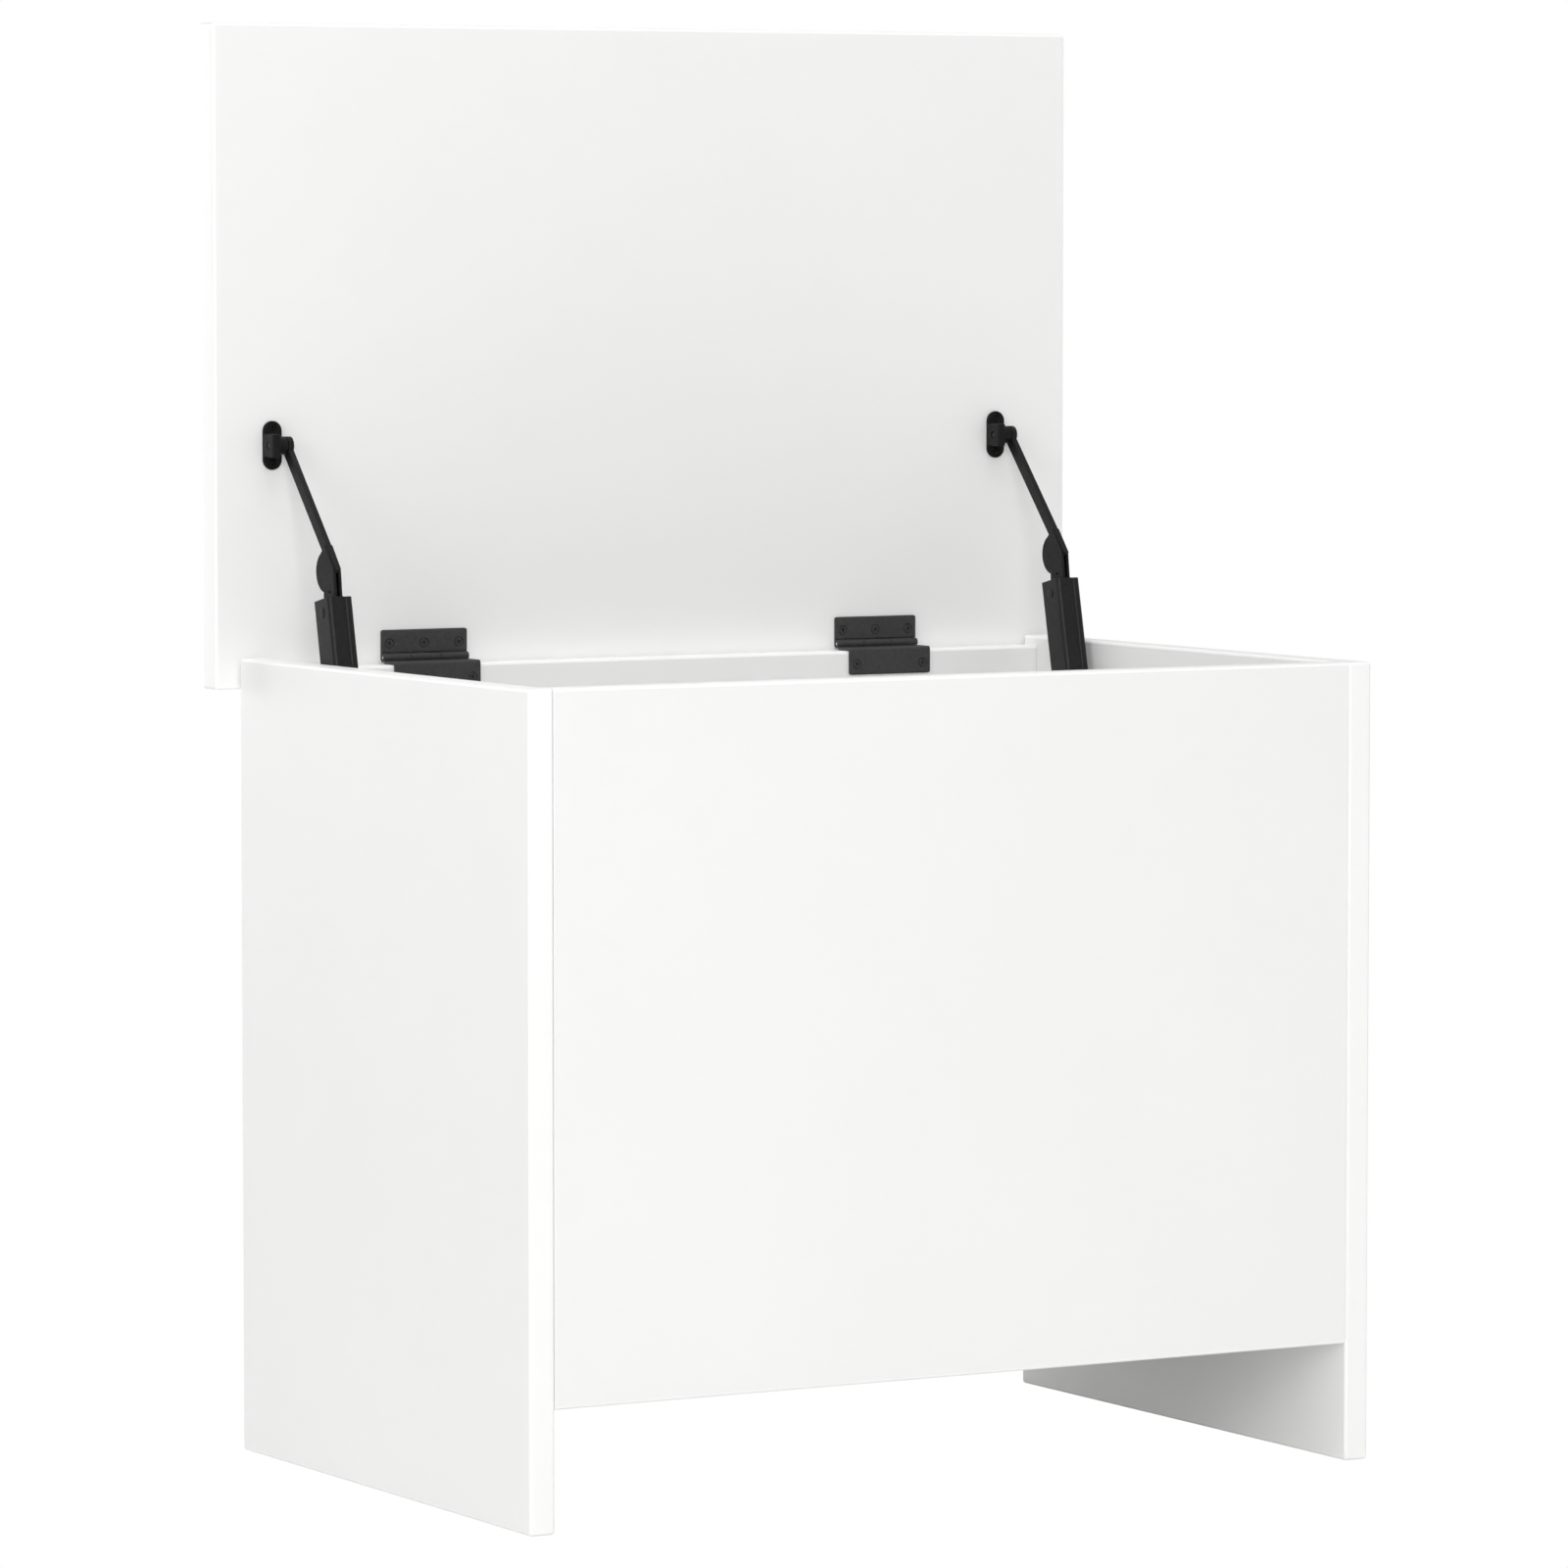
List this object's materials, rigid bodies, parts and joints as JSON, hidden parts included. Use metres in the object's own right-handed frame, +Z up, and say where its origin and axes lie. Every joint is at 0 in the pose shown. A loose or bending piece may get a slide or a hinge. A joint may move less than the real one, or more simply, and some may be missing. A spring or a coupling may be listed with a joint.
{
  "type": "storage bench",
  "caption": "White board storage bench: an open-top chest on side panels under a hinged seat lid, which folding spring-loaded stays hold upright.",
  "frame": {"origin": "on the floor, under the middle of the open bench's outline", "axes": "+Z up, +X to the right seen from the front, the front faces -Y, and the open lid stands at +Y"},
  "size_m": [0.6, 0.39, 0.8612],
  "materials": {
    "white_board": "satin white melamine foil on particle board",
    "black_metal": "satin black powder coat",
    "bright_steel": "zinc plated"
  },
  "bodies": {
    "cabinet": {"left_side_panel": "white_board", "right_side_panel": "white_board", "front_panel": "white_board", "back_panel": "white_board", "bottom_panel": "white_board", "front_panel_left_low_cam": "bright_steel", "front_panel_left_top_cam": "bright_steel", "front_panel_right_low_cam": "bright_steel", "front_panel_right_top_cam": "bright_steel", "back_panel_left_low_cam": "bright_steel", "back_panel_left_top_cam": "bright_steel", "back_panel_right_low_cam": "bright_steel", "back_panel_right_top_cam": "bright_steel", "bottom_panel_left_front_cam": "bright_steel", "bottom_panel_left_back_cam": "bright_steel", "bottom_panel_right_front_cam": "bright_steel", "bottom_panel_right_back_cam": "bright_steel", "left_hinge_body_leaf": "black_metal", "left_hinge_pin": "bright_steel", "left_hinge_body_screw_1": "black_metal", "left_hinge_body_screw_2": "black_metal", "left_stay_foot_bracket": "black_metal", "left_stay_foot_screw_1": "black_metal", "left_stay_foot_screw_2": "black_metal", "left_stay_foot_pin": "bright_steel", "right_hinge_body_leaf": "black_metal", "right_hinge_pin": "bright_steel", "right_hinge_body_screw_1": "black_metal", "right_hinge_body_screw_2": "black_metal", "right_stay_foot_bracket": "black_metal", "right_stay_foot_screw_1": "black_metal", "right_stay_foot_screw_2": "black_metal", "right_stay_foot_pin": "bright_steel"},
    "lid": {"lid_panel": "white_board", "left_hinge_lid_leaf": "black_metal", "left_hinge_lid_screw_1": "black_metal", "left_hinge_lid_screw_2": "black_metal", "left_hinge_lid_screw_3": "black_metal", "left_stay_lid_bracket": "black_metal", "left_stay_lid_screw_1": "black_metal", "left_stay_lid_screw_2": "black_metal", "left_stay_top_rivet": "black_metal", "right_hinge_lid_leaf": "black_metal", "right_hinge_lid_screw_1": "black_metal", "right_hinge_lid_screw_2": "black_metal", "right_hinge_lid_screw_3": "black_metal", "right_stay_lid_bracket": "black_metal", "right_stay_lid_screw_1": "black_metal", "right_stay_lid_screw_2": "black_metal", "right_stay_top_rivet": "black_metal"},
    "left_stay_arm": {"left_stay_arm": "black_metal"},
    "left_stay_housing": {"left_stay_housing": "black_metal", "left_stay_knee_rivet": "black_metal", "left_stay_spring": "bright_steel"},
    "left_stay_plunger": {"left_stay_plunger": "bright_steel"},
    "right_stay_arm": {"right_stay_arm": "black_metal"},
    "right_stay_housing": {"right_stay_housing": "black_metal", "right_stay_knee_rivet": "black_metal", "right_stay_spring": "bright_steel"},
    "right_stay_plunger": {"right_stay_plunger": "bright_steel"}
  },
  "joints": [
    {"name": "lid_hinge", "type": "hinge", "parent": "cabinet", "child": "lid", "pos_m": [0, 0.1745, 0.4778], "axis": [1, 0, 0], "range_deg": [0, 90]},
    {"name": "left_stay_top_pivot", "type": "hinge", "parent": "lid", "child": "left_stay_arm", "pos_m": [-0.2551, 0.1685, 0.6078], "axis": [1, 0, 0], "range_deg": [-101, 0]},
    {"name": "left_stay_knee", "type": "hinge", "parent": "left_stay_arm", "child": "left_stay_housing", "pos_m": [-0.2551, 0.107, 0.5095], "axis": [1, 0, 0], "range_deg": [0, 114]},
    {"name": "left_stay_plunger_slide", "type": "slide", "parent": "left_stay_housing", "child": "left_stay_plunger", "axis": [0, -0.2079, -0.9781], "range_m": [0, 0.0036], "deforming": ["left_stay_spring"]},
    {"name": "right_stay_top_pivot", "type": "hinge", "parent": "lid", "child": "right_stay_arm", "pos_m": [0.2551, 0.1685, 0.6078], "axis": [1, 0, 0], "range_deg": [-101, 0]},
    {"name": "right_stay_knee", "type": "hinge", "parent": "right_stay_arm", "child": "right_stay_housing", "pos_m": [0.2551, 0.107, 0.5095], "axis": [1, 0, 0], "range_deg": [0, 114]},
    {"name": "right_stay_plunger_slide", "type": "slide", "parent": "right_stay_housing", "child": "right_stay_plunger", "axis": [0, -0.2079, -0.9781], "range_m": [0, 0.0036], "deforming": ["right_stay_spring"]}
  ],
  "couplings": [
    {"joint": "left_stay_top_pivot", "follows": "lid_hinge", "ratio": -1.1176},
    {"joint": "left_stay_knee", "follows": "lid_hinge", "ratio": 1.2553},
    {"joint": "left_stay_plunger_slide", "follows": "lid_hinge", "m_per_rad": 0.0022282},
    {"joint": "right_stay_top_pivot", "follows": "lid_hinge", "ratio": -1.1176},
    {"joint": "right_stay_knee", "follows": "lid_hinge", "ratio": 1.2553},
    {"joint": "right_stay_plunger_slide", "follows": "lid_hinge", "m_per_rad": 0.0022282}
  ]
}
